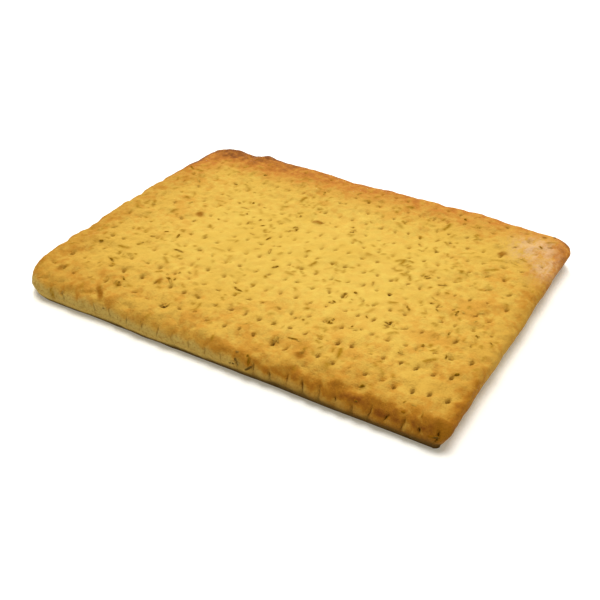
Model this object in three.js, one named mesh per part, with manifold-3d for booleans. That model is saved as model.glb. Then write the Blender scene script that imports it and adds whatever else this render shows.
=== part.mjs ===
// A sheet of focaccia: a flat, tray-baked bread of 400 by 306 mm with a round shoulder, walls that slope in
// to the underside, a crust pricked all over by a docking roller, and rosemary needles baked into the top.
// Millimetres, +Z up. The long side runs along X and the front is at -Y.
// The origin is at the middle of the flat underside.
import * as THREE from "three";
import { mergeVertices } from "three/addons/utils/BufferGeometryUtils.js";
import Module from "manifold-3d";

// The sheet
const LENGTH = 400;
const DEPTH = 306;
// How each side turns down from the crust: the width of its shoulder, the height at which it stands out
// furthest, and how far it slopes in below that. The right side rose against the sloping side of the tray.
const SIDES = [
  { x: 1, y: 0, shoulder: 7, bulge: 17.5, tuck: 9 },
  { x: 0, y: 1, shoulder: 12, bulge: 11, tuck: 4 },
  { x: -1, y: 0, shoulder: 13, bulge: 10, tuck: 4 },
  { x: 0, y: -1, shoulder: 14, bulge: 10.5, tuck: 5 },
];
// Each corner's height, and its radius seen from above. x and y say which corner it is.
const CORNERS = [
  { x: -1, y: -1, height: 27, radius: 34 },
  { x: 1, y: -1, height: 26.5, radius: 11 },
  { x: 1, y: 1, height: 25.5, radius: 28 },
  { x: -1, y: 1, height: 24.5, radius: 14 },
];
const LEAST_RADIUS = 2;
const EDGE_FALL = 2; // the crust falls by this
const FALL_WIDTH = 28; // over this width, towards the shoulder
// Slow swells of the top: height, wavelength along X and along Y, and phase in turns
const SWELLS = [
  { rise: 0.6, alongX: 172, alongY: 310, phase: 0.1 },
  { rise: 0.5, alongX: -420, alongY: 128, phase: 0.35 },
  { rise: 0.35, alongX: 88, alongY: 104, phase: 0.7 },
];
// Waves of the outline, inwards: depth and number of waves round the sheet
const EDGE_WAVES = [
  { depth: 0.7, waves: 7 },
  { depth: 0.5, waves: 17 },
];
// A nub on the back edge, where the dough was pulled
const NUB = { x: -131, reach: 4, width: 13 };

// The docking: pricked holes in rows along X, each row half a pitch along from the one before
const COLUMNS = 27;
const ROWS = 14;
const HOLE_HALF_WIDTH = 1.7;
const HOLE_HALF_LENGTH = 2.4; // along Y, the way that the roller ran
const HOLE_DEPTH = 5;
const HOLE_SIDES = 6;
const DIMPLE = 0.5; // the crust sinks by this at a hole's rim
const PILLOW = 0.5; // and swells by this between holes
// The roller ran a little askew and the dough crept after it: the most that each makes a hole move
const ROW_TILT = 6;
const ROW_BOW = 10;
const COLUMN_LEAN = 14;
const PITCH_DRIFT = 12;
const CREEP_POWER = 4; // the creep dies away towards the edge of the docked field with this power
const CREASE = 1.1; // depth of the notch where a docking row meets the shoulder

// The shoulder, as angles round an ellipse that starts a little way down, and the wall, as shares of its
// height from the bulge down
const SHOULDER_START = 15;
const SHOULDER_ANGLES = [40, 65, 90];
const CREASED_ANGLES = [65, 90];
const WALL_SHARES = [0.5, 1];
const WALL_POWER = 1.3; // the wall slopes in more towards the underside

// The rosemary, on the swells between the rows of holes
const NEEDLE_SEED = 20;
const NEEDLE_SHARE = 0.24; // of the places between the rows that hold a needle
const NEEDLE_LENGTH = [6, 12];
const NEEDLE_WIDTH = [1.4, 2];
const NEEDLE_THICKNESS = 1.7;
const NEEDLE_RISE = 0.25; // of a needle's middle above the crust
const NEEDLE_WANDER = 2; // off its place, each way

// The middle and half sizes of the whole sheet, and of the docked field inside the shoulders
const [RIGHT, BACK, LEFT, FRONT] = SIDES.map((side) => side.shoulder);
const SHEET = { x: 0, y: 0, halfX: LENGTH / 2, halfY: DEPTH / 2 };
const FIELD = {
  x: (LEFT - RIGHT) / 2,
  y: (FRONT - BACK) / 2,
  halfX: (LENGTH - LEFT - RIGHT) / 2,
  halfY: (DEPTH - FRONT - BACK) / 2,
};
const HALF_PITCH = FIELD.halfX / COLUMNS;
const HALF_ROW = FIELD.halfY / ROWS;
const LAST_A = 2 * COLUMNS; // the field in half pitches along X
const LAST_B = 2 * ROWS; // and in half rows along Y
const TURN = 2 * Math.PI;
const MERGE_DISTANCE = 1e-4;
const lerp = THREE.MathUtils.lerp;
const toRadians = THREE.MathUtils.degToRad;

// The height of the crust over a point, before the docking
function crustHeight(x, y) {
  const across = THREE.MathUtils.clamp(x / LENGTH + 0.5, 0, 1);
  const along = THREE.MathUtils.clamp(y / DEPTH + 0.5, 0, 1);
  const [frontLeft, frontRight, backRight, backLeft] = CORNERS.map((corner) => corner.height);
  const base = lerp(lerp(frontLeft, frontRight, across), lerp(backLeft, backRight, across), along);
  const fall = (distance) => EDGE_FALL * Math.max(0, 1 - distance / FALL_WIDTH) ** 2;
  const fallX = fall(FIELD.halfX - Math.abs(x - FIELD.x));
  const fallY = fall(FIELD.halfY - Math.abs(y - FIELD.y));
  return SWELLS.reduce(
    (z, swell) => z + swell.rise * Math.sin(TURN * (x / swell.alongX + y / swell.alongY + swell.phase)),
    base - Math.hypot(fallX, fallY),
  );
}

// The regular docking pattern, from the middle of the field. It is counted in half pitches and half rows from
// the field's front left corner.
const regularX = (a) => a * HALF_PITCH - FIELD.halfX;
const regularY = (b) => b * HALF_ROW - FIELD.halfY;
// The corners of a brick round its hole, anticlockwise, and of half a brick at a row's end
const BRICK = [[2, 1], [2, 2], [1, 2], [0, 2], [0, 1], [0, 0], [1, 0], [2, 0]];
const HALF_BRICK = [[0, 1], [0, 0], [1, 0], [1, 1], [1, 2], [0, 2]];

// Where a point of the regular docking pattern ends up: points on the edge of the field slide along it
function settle(x, y) {
  const u = x / FIELD.halfX;
  const v = y / FIELD.halfY;
  const shiftX = -COLUMN_LEAN * v - PITCH_DRIFT * u * u;
  const shiftY = ROW_TILT * u + ROW_BOW * u * u;
  return new THREE.Vector2(
    FIELD.x + x + shiftX * (1 - u ** CREEP_POWER),
    FIELD.y + y + shiftY * (1 - v ** CREEP_POWER),
  );
}

// A place on the edge of the docked field, carried to the edge of the field or the sheet, whose corners are
// round, with the radii of the sheet's corners less shrink
function roundedEdge(place, { x, y, halfX, halfY }, shrink) {
  const shareX = (place.x - FIELD.x) / FIELD.halfX;
  const shareY = (place.y - FIELD.y) / FIELD.halfY;
  const corner = CORNERS.find((c) => c.x === Math.sign(shareX || 1) && c.y === Math.sign(shareY || 1));
  const radius = Math.max(corner.radius - shrink, LEAST_RADIUS);
  const fromX = halfX * (1 - Math.abs(shareX));
  const fromY = halfY * (1 - Math.abs(shareY));
  const onSide = fromX < fromY;
  const turn = (Math.PI / 4) * Math.max(0, 1 - Math.max(fromX, fromY) / radius);
  const angle = onSide ? turn : Math.PI / 2 - turn;
  const normal = new THREE.Vector2(corner.x * Math.cos(angle), corner.y * Math.sin(angle));
  const point = new THREE.Vector2(shareX * halfX, shareY * halfY);
  if (turn > 0) {
    point.set(corner.x * (halfX - radius), corner.y * (halfY - radius)).addScaledVector(normal, radius);
  }
  return { point: point.add({ x, y }), normal };
}

// The bulge and the tuck of the side that faces a way, blended round the corners
function sideFacing(normal) {
  const share = (side) => Math.max(0, normal.x * side.x + normal.y * side.y) ** 2;
  const blend = (key) => SIDES.reduce((sum, side) => sum + share(side) * side[key], 0);
  return { bulge: blend("bulge"), tuck: blend("tuck") };
}

// How far the outline comes in from the plain round-cornered rectangle. It is negative at the nub.
function edgeWave(point) {
  const turns = Math.atan2(point.y / DEPTH, point.x / LENGTH) / TURN;
  const wave = EDGE_WAVES.reduce((sum, w) => sum + (w.depth * (1 - Math.cos(TURN * w.waves * turns))) / 2, 0);
  const nub = point.y > 0 ? NUB.reach * Math.exp(-(((point.x - NUB.x) / NUB.width) ** 2)) : 0;
  return wave - nub;
}

// Collects the corners and triangles of the sheet
class Skin {
  points = [];
  triangles = [];
  addPoint(x, y, z) {
    this.points.push(x, y, z);
    return this.points.length / 3 - 1;
  }
  addTriangle(a, b, c) {
    this.triangles.push(a, b, c);
  }
  at(index) {
    return new THREE.Vector3().fromArray(this.points, 3 * index);
  }
  geometry() {
    const made = new THREE.BufferGeometry();
    made.setAttribute("position", new THREE.Float32BufferAttribute(this.points, 3));
    return made.setIndex(this.triangles);
  }
}

// Joins an outer ring of corners to an inner one about a centre. Both run anticlockwise, and the inner one
// starts a little after the outer one.
function joinRings(skin, outer, inner, centre) {
  const angle = (index) => {
    const p = skin.at(index);
    return Math.atan2(p.y - centre.y, p.x - centre.x);
  };
  const first = angle(outer[0]);
  const turned = (ring) => ring.map((index) => THREE.MathUtils.euclideanModulo(angle(index) - first, TURN));
  const outerTurns = [...turned(outer), Infinity];
  const innerTurns = [...turned(inner), Infinity];
  let o = 0;
  let i = 0;
  while (o < outer.length || i < inner.length) {
    if (outerTurns[o] <= innerTurns[i]) {
      skin.addTriangle(outer[o], outer[(o + 1) % outer.length], inner[i % inner.length]);
      o += 1;
    } else {
      skin.addTriangle(inner[i], outer[o % outer.length], inner[(i + 1) % inner.length]);
      i += 1;
    }
  }
}

// The docked top: bricks of crust laid as a wall is, one round each hole, and half bricks at the row ends
function addDockedTop(skin) {
  const known = new Map();
  const cornerAt = (a, b) => {
    const key = a * (LAST_B + 1) + b;
    if (!known.has(key)) {
      const edge = a === 0 || a === LAST_A || b === 0 || b === LAST_B;
      let place = settle(regularX(a), regularY(b));
      if (edge) place = roundedEdge(place, FIELD, LEFT).point;
      const swell = edge ? 0 : PILLOW;
      known.set(key, skin.addPoint(place.x, place.y, crustHeight(place.x, place.y) + swell));
    }
    return known.get(key);
  };
  for (let row = 0; row < ROWS; row += 1) {
    const low = 2 * row;
    const shift = row % 2;
    for (let left = shift; left + 2 <= LAST_A; left += 2) {
      const around = BRICK.map(([a, b]) => cornerAt(left + a, low + b));
      addHole(skin, around, settle(regularX(left + 1), regularY(low + 1)));
    }
    if (shift) {
      addHalfBrick(skin, HALF_BRICK.map(([a, b]) => cornerAt(a, low + b)));
      addHalfBrick(skin, HALF_BRICK.map(([a, b]) => cornerAt(LAST_A - a, low + 2 - b)));
    }
  }
  return cornerAt;
}

// One pricked hole, a cone in the middle of its brick
function addHole(skin, around, centre) {
  const surface = crustHeight(centre.x, centre.y);
  const rim = [];
  for (let side = 0; side < HOLE_SIDES; side += 1) {
    const angle = (TURN * (side + 0.5)) / HOLE_SIDES;
    const x = centre.x + HOLE_HALF_WIDTH * Math.cos(angle);
    const y = centre.y + HOLE_HALF_LENGTH * Math.sin(angle);
    rim.push(skin.addPoint(x, y, crustHeight(x, y) - DIMPLE));
  }
  joinRings(skin, around, rim, centre);
  const tip = skin.addPoint(centre.x, centre.y, surface - HOLE_DEPTH);
  rim.forEach((index, side) => skin.addTriangle(index, rim[(side + 1) % HOLE_SIDES], tip));
}

// Half a brick at the end of a shifted row, with no hole
function addHalfBrick(skin, [hub, ...fan]) {
  fan.slice(1).forEach((index, i) => skin.addTriangle(hub, fan[i], index));
}

// The corners round the docked field, anticlockwise from its front left, and whether a docking row meets each
function fieldBorder() {
  const border = [];
  for (let a = 0; a < LAST_A; a += 1) border.push({ a, b: 0, creased: a % 2 === 0 && a > 0 });
  for (let b = 0; b < LAST_B; b += 1) border.push({ a: LAST_A, b, creased: false });
  for (let a = LAST_A; a > 0; a -= 1) border.push({ a, b: LAST_B, creased: a % 2 === 1 });
  for (let b = LAST_B; b > 0; b -= 1) border.push({ a: 0, b, creased: b % 2 === 1 });
  return border;
}

// The shoulder and the wall, ring by ring from the docked field down to the underside
function addSides(skin, cornerAt) {
  const border = fieldBorder();
  const startOut = Math.sin(toRadians(SHOULDER_START));
  const startUp = Math.cos(toRadians(SHOULDER_START));
  const columns = border.map(({ a, b, creased }) => {
    const top = cornerAt(a, b);
    const inner = skin.at(top);
    const { point, normal } = roundedEdge(settle(regularX(a), regularY(b)), SHEET, 0);
    point.addScaledVector(normal, -edgeWave(point));
    const { bulge, tuck } = sideFacing(normal);
    const place = (share, inset, z) => {
      const x = lerp(inner.x, point.x, share) - inset * normal.x;
      const y = lerp(inner.y, point.y, share) - inset * normal.y;
      return skin.addPoint(x, y, z);
    };
    const shoulder = SHOULDER_ANGLES.map((angle) => {
      const notch = creased && CREASED_ANGLES.includes(angle) ? CREASE : 0;
      const out = (Math.sin(toRadians(angle)) - startOut) / (1 - startOut);
      return place(out, notch, lerp(bulge, inner.z, Math.cos(toRadians(angle)) / startUp));
    });
    const wall = WALL_SHARES.map((down) => place(1, tuck * down ** WALL_POWER, bulge * (1 - down)));
    return [top, ...shoulder, ...wall];
  });
  columns.forEach((column, i) => {
    const next = columns[(i + 1) % columns.length];
    for (let ring = 0; ring + 1 < column.length; ring += 1) {
      skin.addTriangle(column[ring], column[ring + 1], next[ring + 1]);
      skin.addTriangle(column[ring], next[ring + 1], next[ring]);
    }
  });
  return columns.map((column) => column.at(-1));
}

// The flat underside, between the feet of the walls
function addUnderside(skin, feet) {
  const outline = feet.map((index) => new THREE.Vector2(skin.at(index).x, skin.at(index).y));
  THREE.ShapeUtils.triangulateShape(outline, []).forEach(([a, b, c]) => {
    skin.addTriangle(feet[a], feet[c], feet[b]);
  });
}

function sheetGeometry() {
  const skin = new Skin();
  const cornerAt = addDockedTop(skin);
  addUnderside(skin, addSides(skin, cornerAt));
  return skin.geometry();
}

// A repeatable run of draws from 0 to 1
function seededDraws(seed) {
  let state = seed;
  return () => {
    state = (Math.imul(state, 1664525) + 1013904223) >>> 0;
    return state / 2 ** 32;
  };
}

// Pointed needles half sunk in the crust, each with its own heading and size
function needleGeometries() {
  const draw = seededDraws(NEEDLE_SEED);
  const between = ([low, high]) => lerp(low, high, draw());
  const needles = [];
  for (let row = 1; row < ROWS; row += 1) {
    for (let column = 0; column < COLUMNS; column += 1) {
      const chosen = draw() < NEEDLE_SHARE;
      const wanderX = between([-NEEDLE_WANDER, NEEDLE_WANDER]);
      const wanderY = between([-NEEDLE_WANDER, NEEDLE_WANDER]);
      const heading = between([0, Math.PI]);
      const size = [between(NEEDLE_LENGTH), between(NEEDLE_WIDTH), NEEDLE_THICKNESS];
      if (!chosen) continue;
      const place = settle(regularX(2 * column + 1) + wanderX, regularY(2 * row) + wanderY);
      const needle = new THREE.OctahedronGeometry(0.5, 0);
      needle.scale(...size).rotateZ(heading);
      needles.push(needle.translate(place.x, place.y, crustHeight(place.x, place.y) + PILLOW + NEEDLE_RISE));
    }
  }
  return needles;
}

const wasm = await Module();
wasm.setup();

function toSolid(geometry) {
  geometry.deleteAttribute("normal");
  geometry.deleteAttribute("uv");
  const merged = mergeVertices(geometry, MERGE_DISTANCE);
  return new wasm.Manifold(
    new wasm.Mesh({
      numProp: 3,
      vertProperties: merged.attributes.position.array,
      triVerts: new Uint32Array(merged.index.array),
    }),
  );
}

function toGeometry(solid) {
  const mesh = solid.getMesh();
  const geometry = new THREE.BufferGeometry();
  geometry.setAttribute("position", new THREE.BufferAttribute(mesh.vertProperties, 3));
  geometry.setIndex(new THREE.BufferAttribute(mesh.triVerts, 1));
  geometry.computeVertexNormals();
  return geometry;
}

// The needles are baked into the crust, so bread and rosemary are one solid
function bakedSheet() {
  return needleGeometries()
    .map(toSolid)
    .reduce((bread, needle) => bread.add(needle), toSolid(sheetGeometry()));
}

const crust = new THREE.MeshStandardMaterial({ color: 0xe6b450, roughness: 0.8, metalness: 0 });
const focaccia = new THREE.Mesh(toGeometry(bakedSheet()), crust);
focaccia.name = "focaccia";

const part = new THREE.Group();
part.add(focaccia);
export default part;
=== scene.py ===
import math

import bpy
import numpy as np
from mathutils import Matrix, Vector
from mathutils.bvhtree import BVHTree


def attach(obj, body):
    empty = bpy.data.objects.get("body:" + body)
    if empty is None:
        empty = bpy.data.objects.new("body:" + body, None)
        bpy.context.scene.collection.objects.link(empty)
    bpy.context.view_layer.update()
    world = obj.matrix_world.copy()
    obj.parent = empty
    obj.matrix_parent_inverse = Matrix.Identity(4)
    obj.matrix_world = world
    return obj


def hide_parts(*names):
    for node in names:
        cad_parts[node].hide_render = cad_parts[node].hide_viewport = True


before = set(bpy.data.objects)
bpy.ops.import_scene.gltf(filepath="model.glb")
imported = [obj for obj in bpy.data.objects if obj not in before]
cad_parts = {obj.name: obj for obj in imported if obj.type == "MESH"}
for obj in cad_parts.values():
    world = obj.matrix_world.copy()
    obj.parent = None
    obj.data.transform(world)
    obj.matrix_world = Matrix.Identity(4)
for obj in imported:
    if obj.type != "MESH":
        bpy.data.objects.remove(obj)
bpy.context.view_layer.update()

# The sheet of bread
# Wheat dough, stretched over a tray, pricked by a spiked roller in staggered rows, proved and baked. It has
# a flat underside, low pale walls, a round browned shoulder, and a crust that swells between the holes.
# Sizes are in millimetres, as on the baker's bench, and the mesh is scaled to metres when it is made.
MM = 0.001
LENGTH = 400
DEPTH = 306
# How the right, back, left and front sides turn down from the crust: the width of the shoulder, the height
# at which the side stands out furthest, and how far it slopes in below that
SHOULDER_WIDTHS = (7, 12, 13, 14)
BULGE_HEIGHTS = (17.5, 11, 10, 10.5)
TUCKS = (9, 4, 4, 5)
# Heights and plan radii of the corners: front left, front right, back right, back left
CORNER_HEIGHTS = (27, 26.5, 25.5, 24.5)
CORNER_RADII = (34, 11, 28, 8)
LEAST_RADIUS = 2
# The docked field lies inside the shoulders: its middle and its half sizes
RIGHT, BACK, LEFT, FRONT = SHOULDER_WIDTHS
FIELD_X = (LEFT - RIGHT) / 2
FIELD_Y = (FRONT - BACK) / 2
FIELD_HALF_X = (LENGTH - LEFT - RIGHT) / 2
FIELD_HALF_Y = (DEPTH - FRONT - BACK) / 2
# The crust falls by this, over this width, towards the shoulder
EDGE_FALL = 2
FALL_WIDTH = 28
# Slow swells of the top: rise, wavelength along X, wavelength along Y, phase in turns
SWELLS = ((0.6, 172, 310, 0.1), (0.5, -420, 128, 0.35), (0.35, 88, 104, 0.7))
TURN = 2 * math.pi


def part_way(low, high, share):
    """The value that lies a share of the way from low to high."""
    return low + (high - low) * share


def crust_height(x, y):
    """The height of the crust over a point, without its holes and fine relief."""
    across = np.clip(x / LENGTH + 0.5, 0, 1)
    along = np.clip(y / DEPTH + 0.5, 0, 1)
    front_left, front_right, back_right, back_left = CORNER_HEIGHTS
    front = part_way(front_left, front_right, across)
    back = part_way(back_left, back_right, across)
    fall_x = np.clip(1 - (FIELD_HALF_X - np.abs(x - FIELD_X)) / FALL_WIDTH, 0, None) ** 2
    fall_y = np.clip(1 - (FIELD_HALF_Y - np.abs(y - FIELD_Y)) / FALL_WIDTH, 0, None) ** 2
    height = part_way(front, back, along) - EDGE_FALL * np.hypot(fall_x, fall_y)
    for rise, along_x, along_y, phase in SWELLS:
        height = height + rise * np.sin(TURN * (x / along_x + y / along_y + phase))
    return height


def by_corner(x, y, values):
    """The value, out of four, of the corner that each point is nearest to."""
    front = np.where(x < 0, values[0], values[1])
    back = np.where(x < 0, values[3], values[2])
    return np.where(y < 0, front, back)


def rounded_edge(share_x, share_y, half_x, half_y, shrink):
    """Points on a sharp rectangle's edge, moved to its round corners, and the ways that face out there."""
    side_x = np.where(share_x < 0, -1, 1)
    side_y = np.where(share_y < 0, -1, 1)
    radius = np.maximum(by_corner(share_x, share_y, CORNER_RADII) - shrink, LEAST_RADIUS)
    from_x = half_x * (1 - np.abs(share_x))
    from_y = half_y * (1 - np.abs(share_y))
    turn = math.pi / 4 * np.maximum(0, 1 - np.maximum(from_x, from_y) / radius)
    angle = np.where(from_x < from_y, turn, math.pi / 2 - turn)
    out_x = side_x * np.cos(angle)
    out_y = side_y * np.sin(angle)
    x = np.where(turn > 0, side_x * (half_x - radius) + radius * out_x, share_x * half_x)
    y = np.where(turn > 0, side_y * (half_y - radius) + radius * out_y, share_y * half_y)
    return x, y, out_x, out_y


# The docking: holes in rows along X, each row half a pitch along from the one before
COLUMNS = 27
ROWS = 14
HALF_PITCH = FIELD_HALF_X / COLUMNS
HALF_ROW = FIELD_HALF_Y / ROWS
# The roller ran a little askew and the dough crept after it: the most that each makes a hole move, and the
# power with which this dies away towards the edge of the field
ROW_TILT = 6
ROW_BOW = 10
COLUMN_LEAN = 14
PITCH_DRIFT = 12
CREEP_POWER = 4


def settle(x, y):
    """Where a point of the regular docking pattern ends up, as the roller ran askew and the dough crept."""
    u = x / FIELD_HALF_X
    v = y / FIELD_HALF_Y
    shift_x = -COLUMN_LEAN * v - PITCH_DRIFT * u**2
    shift_y = ROW_TILT * u + ROW_BOW * u**2
    return (
        FIELD_X + x + shift_x * (1 - u**CREEP_POWER),
        FIELD_Y + y + shift_y * (1 - v**CREEP_POWER),
    )


def field_shares(x, y):
    """Places as shares of the docked field's half sizes, from its middle."""
    return (x - FIELD_X) / FIELD_HALF_X, (y - FIELD_Y) / FIELD_HALF_Y


# The top, as a grid whose lines gather at the rows and columns of holes: lines to half a pitch and half a
# row, how much they gather, and the power with which the round of the corners dies away inwards
STEPS_X = 6
STEPS_Y = 8
GATHER = 0.5
ROUNDING_POWER = 8
LEAST_SHARE = 1e-6
half_pitches = np.linspace(0, 2 * COLUMNS, 2 * COLUMNS * STEPS_X + 1)
half_rows = np.linspace(0, 2 * ROWS, 2 * ROWS * STEPS_Y + 1)
line_x = HALF_PITCH * (half_pitches - GATHER * np.sin(TURN * half_pitches) / TURN) - FIELD_HALF_X
line_y = HALF_ROW * (half_rows + GATHER * np.sin(math.pi * half_rows) / math.pi) - FIELD_HALF_Y
regular_x, regular_y = np.meshgrid(line_x, line_y)
top_x, top_y = settle(regular_x, regular_y)
share_x, share_y = field_shares(top_x, top_y)
outward = np.maximum(np.maximum(np.abs(share_x), np.abs(share_y)), LEAST_SHARE)
side_x = share_x / outward
side_y = share_y / outward
edge_x, edge_y, _, _ = rounded_edge(side_x, side_y, FIELD_HALF_X, FIELD_HALF_Y, LEFT)
top_x += outward**ROUNDING_POWER * (edge_x - side_x * FIELD_HALF_X)
top_y += outward**ROUNDING_POWER * (edge_y - side_y * FIELD_HALF_Y)

# The pricked holes. Each spike went in at the front of its slot, left a ramp behind it and pushed up a lip
# before it. Half width, half length and depth of a hole are drawn from these ranges.
HOLE_SEED = 7
HOLE_WIDTH = (0.6, 1)
HOLE_REACH = (1.4, 2.3)
HOLE_DEPTH = (2.2, 3.6)
# The front rows are bolder, holes get fainter to the back and to the left, and a few have healed
BOLD_FRONT = 0.35
BOLD_ROWS = 4
FAINT_BACK = 0.4
FAINT_LEFT = 0.5
HEALED_SHARE = 0.06
HEALED_DEPTH = 0.4
# How far a hole strays from its place, and the mean and spread of its lean
HOLE_SHIFT = 1.2
HOLE_LEAN = (0.25, 0.25)
# The soft dimple round a hole, its ramp and its lip: how deep or high, half sizes, and how far from the hole
DIMPLE = (0.3, 1.1)
DIMPLE_SIZE = (2.6, 3.2)
RAMP = (0.1, 0.6)
RAMP_SIZE = (1, 1.9)
RAMP_BEHIND = 2
LIP = 0.9
LIP_SIZE = (2, 1.1)
LIP_BEFORE = 2.6


def soft_spot(off_x, off_y, size):
    """A round hump, 1 in its middle, that fades out over about twice its size."""
    return np.exp(-((off_x / size[0]) ** 2 + (off_y / size[1]) ** 2) / 2)


hole_draw = np.random.default_rng(HOLE_SEED)
pits = np.zeros_like(top_x)
sunk = np.zeros_like(top_x)
dimples = np.zeros_like(top_x)
painted_ramp_shade = np.zeros_like(top_x)
painted_lip_highlight = np.zeros_like(top_x)
for row in range(ROWS):
    for column in range(row % 2 + 1, 2 * COLUMNS, 2):
        brick = np.s_[
            2 * row * STEPS_Y : (2 * row + 2) * STEPS_Y + 1,
            (column - 1) * STEPS_X : (column + 1) * STEPS_X + 1,
        ]
        off_x = regular_x[brick] - line_x[column * STEPS_X]
        off_y = regular_y[brick] - line_y[(2 * row + 1) * STEPS_Y]
        near = soft_spot(off_x, off_y, DIMPLE_SIZE)
        shift_x, shift_y = hole_draw.normal(0, HOLE_SHIFT, 2)
        top_x[brick] += near * shift_x
        top_y[brick] += near * shift_y
        faint = FAINT_BACK * row / ROWS + FAINT_LEFT * (1 - column / COLUMNS / 2)
        bold = 1 + BOLD_FRONT * max(0, 1 - row / BOLD_ROWS)
        depth = hole_draw.uniform(*HOLE_DEPTH) * (1 - faint) * bold
        if hole_draw.random() < HEALED_SHARE:
            depth *= HEALED_DEPTH
        openness = depth / HOLE_DEPTH[1]
        across = (off_x - hole_draw.normal(*HOLE_LEAN) * off_y) / hole_draw.uniform(*HOLE_WIDTH)
        along = off_y / hole_draw.uniform(*HOLE_REACH)
        pit = 1 / (1 + (across**2 + along**2) ** 2)
        pits[brick] = np.maximum(pits[brick], pit * openness)
        sunk[brick] += depth * pit
        ramp = hole_draw.uniform(*RAMP) * soft_spot(off_x, off_y - RAMP_BEHIND, RAMP_SIZE)
        lip = LIP * openness * soft_spot(off_x, off_y + LIP_BEFORE, LIP_SIZE)
        # The ramps are also kept to paint them darker, as painted shade on slopes that face away from the
        # lamps
        painted_ramp_shade[brick] = np.maximum(painted_ramp_shade[brick], ramp)
        # Lips are also kept to paint them paler, as a painted highlight
        painted_lip_highlight[brick] = np.maximum(painted_lip_highlight[brick], lip)
        dimples[brick] += hole_draw.uniform(*DIMPLE) * (1 - faint) * bold**2 * near + ramp - lip

# The border of the docked field, anticlockwise from its front left, and the rings of points below it. The
# shoulder leaves the top at an angle, in degrees, and the wall slopes in with a power.
SHOULDER_RINGS = 14
SHOULDER_START = 15
WALL_RINGS = 7
WALL_POWER = 1.3
# One more ring lies on the underside, at this share of the way out
UNDERSIDE_SHARE = 0.95
# Waves of the outline, inwards: depth, number of waves round the sheet
EDGE_WAVES = ((0.7, 7), (0.5, 17))
# A nub on the back edge, where the dough was pulled
NUB_X = -131
NUB_REACH = 4
NUB_WIDTH = 13


def edge_wave(x, y):
    """How far the outline comes in from the plain rectangle. It is negative at the nub."""
    turns = np.arctan2(y / DEPTH, x / LENGTH)
    wave = sum(depth * (1 - np.cos(waves * turns)) / 2 for depth, waves in EDGE_WAVES)
    return wave - np.where(y > 0, NUB_REACH * np.exp(-(((x - NUB_X) / NUB_WIDTH) ** 2)), 0)


rows_y, columns_x = top_x.shape
index = np.arange(rows_y * columns_x).reshape(rows_y, columns_x)
border = np.concatenate([index[0, :-1], index[:-1, -1], index[-1, :0:-1], index[:0:-1, 0]])
inner_x = top_x.ravel()[border]
inner_y = top_y.ravel()[border]
border_shares = field_shares(*settle(regular_x.ravel()[border], regular_y.ravel()[border]))
outer_x, outer_y, out_x, out_y = rounded_edge(*border_shares, LENGTH / 2, DEPTH / 2, 0)
wave = edge_wave(outer_x, outer_y)
outer_x -= wave * out_x
outer_y -= wave * out_y
inner_z = crust_height(inner_x, inner_y)
# How much each point of the border faces right, back, left and front
facing = np.clip([out_x, out_y, -out_x, -out_y], 0, None) ** 2
bulge = BULGE_HEIGHTS @ facing
tuck = TUCKS @ facing
shoulder_angles = np.radians(np.linspace(SHOULDER_START, 90, SHOULDER_RINGS + 1)[1:])[:, None]
first_angle = math.radians(SHOULDER_START)
shoulder_out = (np.sin(shoulder_angles) - math.sin(first_angle)) / (1 - math.sin(first_angle))
shoulder_up = np.cos(shoulder_angles) / math.cos(first_angle)
down = np.linspace(0, 1, WALL_RINGS + 1)[1:, None]
inset = tuck * down**WALL_POWER
ring_x = np.vstack([part_way(inner_x, outer_x, shoulder_out), outer_x - inset * out_x])
ring_y = np.vstack([part_way(inner_y, outer_y, shoulder_out), outer_y - inset * out_y])
ring_z = np.vstack([part_way(bulge, inner_z, shoulder_up), bulge * (1 - down), 0 * bulge])
ring_x = np.vstack([ring_x, UNDERSIDE_SHARE * ring_x[-1]])
ring_y = np.vstack([ring_y, UNDERSIDE_SHARE * ring_y[-1]])
flat_part = np.vstack([np.sin(shoulder_angles), np.ones_like(down), [[1]]])
up_part = np.vstack([np.cos(shoulder_angles), np.zeros_like(down), [[0]]])
ring_out = np.stack([out_x * flat_part, out_y * flat_part, np.broadcast_to(up_part, ring_z.shape)], axis=-1)

# Where a docking row runs out over the shoulder it leaves a soft groove, and in it a slit that baked open.
# The groove has a depth and a half width, reaches beyond the slit and lies a little before it.
SLIT_SEED = 11
GROOVE = (0.6, 2.4)
GROOVE_WIDTH = 2.6
GROOVE_BEYOND = 5
GROOVE_BEFORE = 0.8
# A slit's half width, the heights of its top and foot, how softly these end, and its width there, as shares
SLIT_WIDTH = (0.8, 1.4)
SLIT_TOP = (14.5, 18.5)
SLIT_FOOT = (9, 13)
TOP_FADE = (-2, 1.5)
FOOT_FADE = (-1.5, 1)
TOP_WIDTH = 1.3
FOOT_WIDTH = 0.6
# How far a slit lies from the middle of its column, and how far it bows, over this height
SLIT_ASIDE = -2
SLIT_BOW = 0.7
BOW_HEIGHT = 6
# From left to right the slits and grooves get deeper, and lean first to the left and then to the right
SLIT_PLACES = (-200, 0, 110, 200)
SLIT_DEPTHS = (0.5, 1.4, 2.2, 2.4)
SLIT_LEANS = (-0.6, -0.4, 0.3, 0.5)
GROOVE_SHARES = (0.2, 0.8, 1, 1)
DEPTH_SPREAD = 0.45
LEAST_DEPTH = 0.1
LEAN_SPREAD = 0.2
LEAN_SPAN = (-2, 8)
# The share of all this that shows on the right, back, left and front sides
SLIT_SHARES = (0, 0.35, 0.35, 1)


def ease(low, high, value):
    """Rises smoothly from 0 at low to 1 at high."""
    share = np.clip((value - low) / (high - low), 0, 1)
    return share * share * (3 - 2 * share)


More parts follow.
